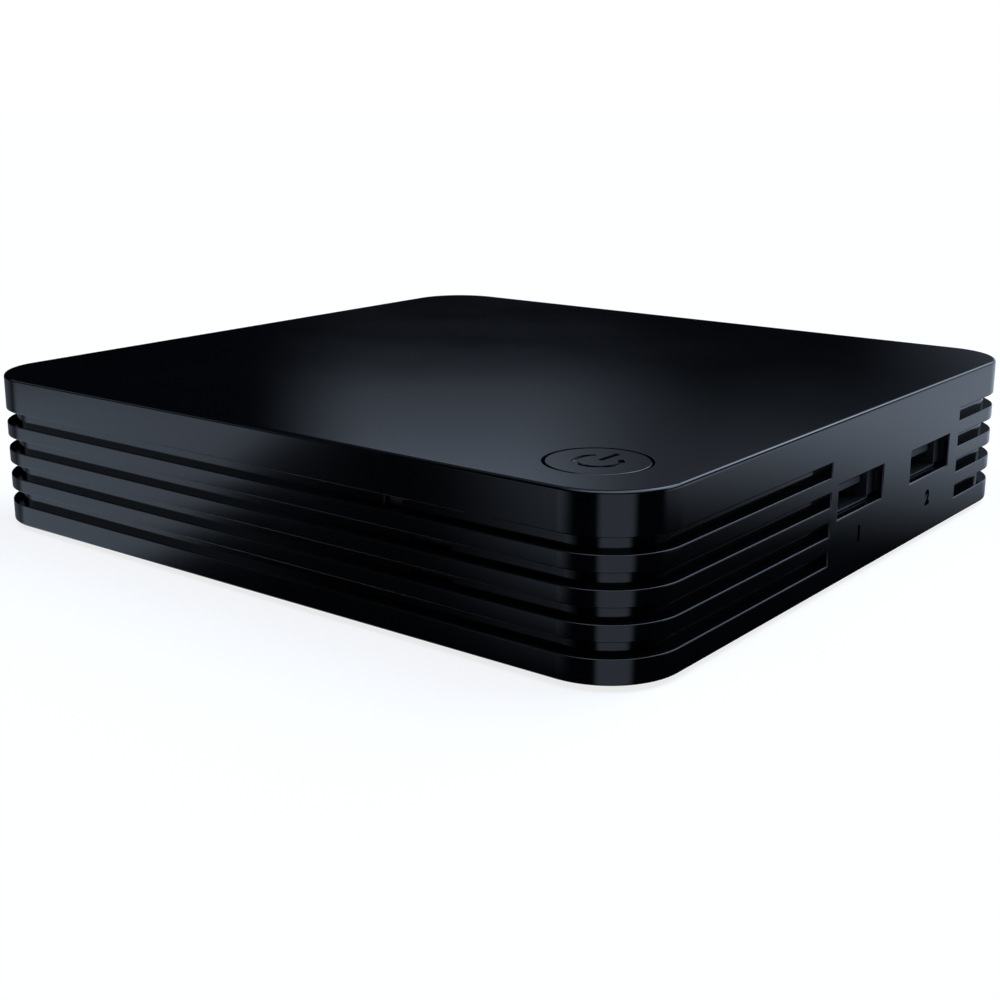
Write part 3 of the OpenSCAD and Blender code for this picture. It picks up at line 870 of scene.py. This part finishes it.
# %% Black plastic for the body and the button
def black_plastic(name, grey, dull, grain, grain_depth):
    """Near-polished black plastic with a fine grain and slow, duller patches."""
    finish = Finish(name, IOR=1.5)
    patches = finish.noise(38, 3.0)
    fine = finish.noise(grain, 3.0)
    dark, light = [tuple(c * k for c in (0.9, 1.0, 1.25)) for k in (grey * 0.75, grey * 1.3)]
    finish.drive("Base Color", finish.between(dark, light, patches))
    finish.drive("Roughness", dull + (patches - 0.5) * 0.05 + (fine - 0.5) * 0.04)
    finish.relief(fine, grain_depth)
    finishes[name] = finish.material


black_plastic("body_plastic", 0.0022, 0.1, 2600, 0.0012)
black_plastic("button_plastic", 0.0024, 0.1, 3400, 0.0010)
print("plastics:", list(finishes))

# %% [markdown]
# Metals differ by how they were worked. Socket shells are nickel-plated sheet with faint
# marks along the strip they were stamped from, screws are turned and zinc-plated, the
# heat sink is brushed and anodised, and contact springs are gold-plated. The marks are
# noise stretched a long way in one direction, which roughens and grooves the surface.

# %% Metals
def worked_metal(name, colour, dull, stretch, scale, relief, dark=0.75):
    """Metal with marks drawn out along one axis, and slow stains."""
    finish = Finish(name, Metallic=1.0)
    lines = finish.noise(scale, 4.0, stretch)
    stains = finish.noise(120, 3.0)
    worn = tuple(c * dark for c in colour)
    finish.drive("Base Color", finish.between(worn, colour, lines * 0.5 + stains * 0.5))
    finish.drive("Roughness", dull + (lines - 0.5) * 0.16 + (stains - 0.5) * 0.1)
    finish.relief(lines, relief)
    finishes[name] = finish.material


worked_metal("socket_steel", (0.11, 0.118, 0.127), 0.48, (0.06, 1, 1), 3200, 0.004)
worked_metal("screw_steel", (0.36, 0.37, 0.39), 0.36, (1, 1, 0.2), 2200, 0.006)
worked_metal("contact_gold", (0.83, 0.58, 0.22), 0.26, (1, 0.1, 1), 2600, 0.003, 0.85)
worked_metal("sink_aluminium", (0.06, 0.065, 0.075), 0.42, (1, 0.03, 1), 1800, 0.008)
print("with metals:", len(finishes))

# %% [markdown]
# Mouldings inside the sockets, chips, feet and the rest are fine-grained, each at its own
# scale, and all but the two windows are dull. One formula serves them: a colour that
# drifts between two tones, a roughness that follows the grain, and a relief of it.

# %% Grained mouldings, rubber and ceramics
def grained(name, low, high, dull, scale, relief, drift=60, **fixed):
    """A fine-grained moulding whose colour drifts between two tones."""
    finish = Finish(name, **fixed)
    fine = finish.noise(scale, 3.0)
    slow = finish.noise(drift, 2.0)
    finish.drive("Base Color", finish.between(low, high, fine * 0.4 + slow * 0.6))
    finish.drive("Roughness", dull + (fine - 0.5) * 0.14 + (slow - 0.5) * 0.06)
    finish.relief(fine, relief)
    finishes[name] = finish.material


grained("socket_plastic", (0.012, 0.014, 0.017), (0.02, 0.023, 0.028), 0.36, 2800, 0.006)
grained("tongue_grey", (0.036, 0.043, 0.049), (0.055, 0.064, 0.071), 0.42, 2800, 0.006)
grained("foot_rubber", (0.012, 0.012, 0.012), (0.026, 0.026, 0.027), 0.78, 1500, 0.03)
grained("chip_black", (0.012, 0.012, 0.013), (0.022, 0.022, 0.023), 0.55, 3600, 0.01)
grained("jack_green", (0.02, 0.09, 0.035), (0.03, 0.125, 0.05), 0.38, 2400, 0.006)
grained("window_plastic", (0.004, 0.0025, 0.003), (0.007, 0.004, 0.005), 0.14, 3000, 0.0008)
grained("light_guide_smoke", (0.007, 0.008, 0.009), (0.012, 0.013, 0.015), 0.2, 2200, 0.001)
grained("pad_grey", (0.20, 0.23, 0.27), (0.27, 0.30, 0.34), 0.82, 1300, 0.03)
grained("capacitor_blue", (0.015, 0.02, 0.075), (0.022, 0.03, 0.11), 0.33, 900, 0.004)
grained("coil_grey", (0.03, 0.03, 0.031), (0.055, 0.055, 0.055), 0.62, 1900, 0.02)
grained("small_chip_tan", (0.20, 0.15, 0.08), (0.29, 0.22, 0.12), 0.48, 2600, 0.01)
grained("number_ink", (0.0005, 0.0005, 0.0006), (0.0009, 0.0009, 0.001), 0.92, 3200, 0.004,
        Specular_IOR_Level=0.0)
print("with mouldings:", len(finishes))

# %% [markdown]
# A circuit board is glass cloth under a tinted lacquer, with copper tracks that stand a
# little proud under it and look lighter. Real tracks are routed by machine, and a brick
# pattern with long bricks and broad joints gives much the same run of parallel lines.
# The cloth's weave shows as a fine relief of two crossed sets of waves.

# %% Circuit boards
def lacquered_board(name, lacquer, track):
    """A circuit board's face: woven glass and tracks under a tinted lacquer."""
    finish = Finish(name, Coat_Weight=0.35, Coat_Roughness=0.2)
    bricks = finish.place.node(
        "ShaderNodeTexBrick", {"offset": 0.37}, output=1, Vector=finish.place,
        Scale=1.0, Mortar_Size=0.00035, Brick_Width=0.021, Row_Height=0.0013,
    )
    along, across = (
        finish.place.node("ShaderNodeTexWave", {"bands_direction": axis}, output=1,
                          Vector=finish.place, Scale=320.0, Distortion=0.4)
        for axis in ("X", "Y")
    )
    cloudy = finish.noise(90, 3.0)
    finish.drive("Base Color", finish.between(lacquer, track, bricks * (0.55 + cloudy * 0.45)))
    finish.drive("Roughness", 0.34 + cloudy * 0.14)
    finish.relief(bricks * 0.7 + along * across * 0.3, 0.03)
    finishes[name] = finish.material


lacquered_board("board_green", (0.006, 0.045, 0.02), (0.02, 0.11, 0.05))
lacquered_board("wifi_board_blue", (0.006, 0.014, 0.05), (0.02, 0.04, 0.12))
print("finishes:", len(finishes))

# %% [markdown]
# ## Putting it together
# Each new piece takes its finish, rides on the body that carries it, and hides the
# frame's part that it stands for. The parts of the frame that stay, which are the
# electronics sealed inside, only get finishes.

# %% Finish, ride and replace
def finish_piece(obj, slot, body, *nodes, finish=None):
    """Gives a piece its finish, picked by slot unless finish is given, and its body, and hides the
    nodes that it stands for.
    """
    obj.data.materials.clear()
    obj.data.materials.append(finishes[finish or slot])
    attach(obj, body)
    if nodes:
        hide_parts(*nodes)


finish_piece(housing, "body_plastic", "player", "housing")
finish_piece(cap, "button_plastic", "power_button", "power_button")
for piece in number_pieces:
    finish_piece(piece, "body_plastic", "player", finish="number_ink")
for node, (name, width, slot) in SOFTENED.items():
    tongue = node.startswith("usb_port") and slot == "socket_plastic"
    finish_piece(visible[node], slot, "player", node, finish="tongue_grey" if tongue else None)

INSIDE = {
    "board_green": ["main_board"],
    "wifi_board_blue": ["wifi_module"],
    "screw_steel": ["board_screws"],
    "socket_steel": ["wifi_shield", "clock_crystal", "switch_body"],
    "socket_plastic": ["switch_plunger"],
    "window_plastic": ["ir_receiver"],
    "light_guide_smoke": ["status_led"],
    "chip_black": ["main_processor", "memory_chips", "flash_chip", "regulators",
                   "usb_power_switches", "network_transformer"],
    "pad_grey": ["thermal_pad"],
    "sink_aluminium": ["heat_sink"],
    "capacitor_blue": ["power_capacitors"],
    "coil_grey": ["power_coils"],
    "small_chip_tan": ["small_chips"],
}
for slot, nodes in INSIDE.items():
    for node in nodes:
        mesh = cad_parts[node].data
        mesh.materials.clear()
        mesh.materials.append(finishes[slot])
made_again = {"housing", "power_button", *SOFTENED}
left = set(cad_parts) - made_again - set(sum(INSIDE.values(), []))
print("parts without a finish:", sorted(left))

# %% [markdown]
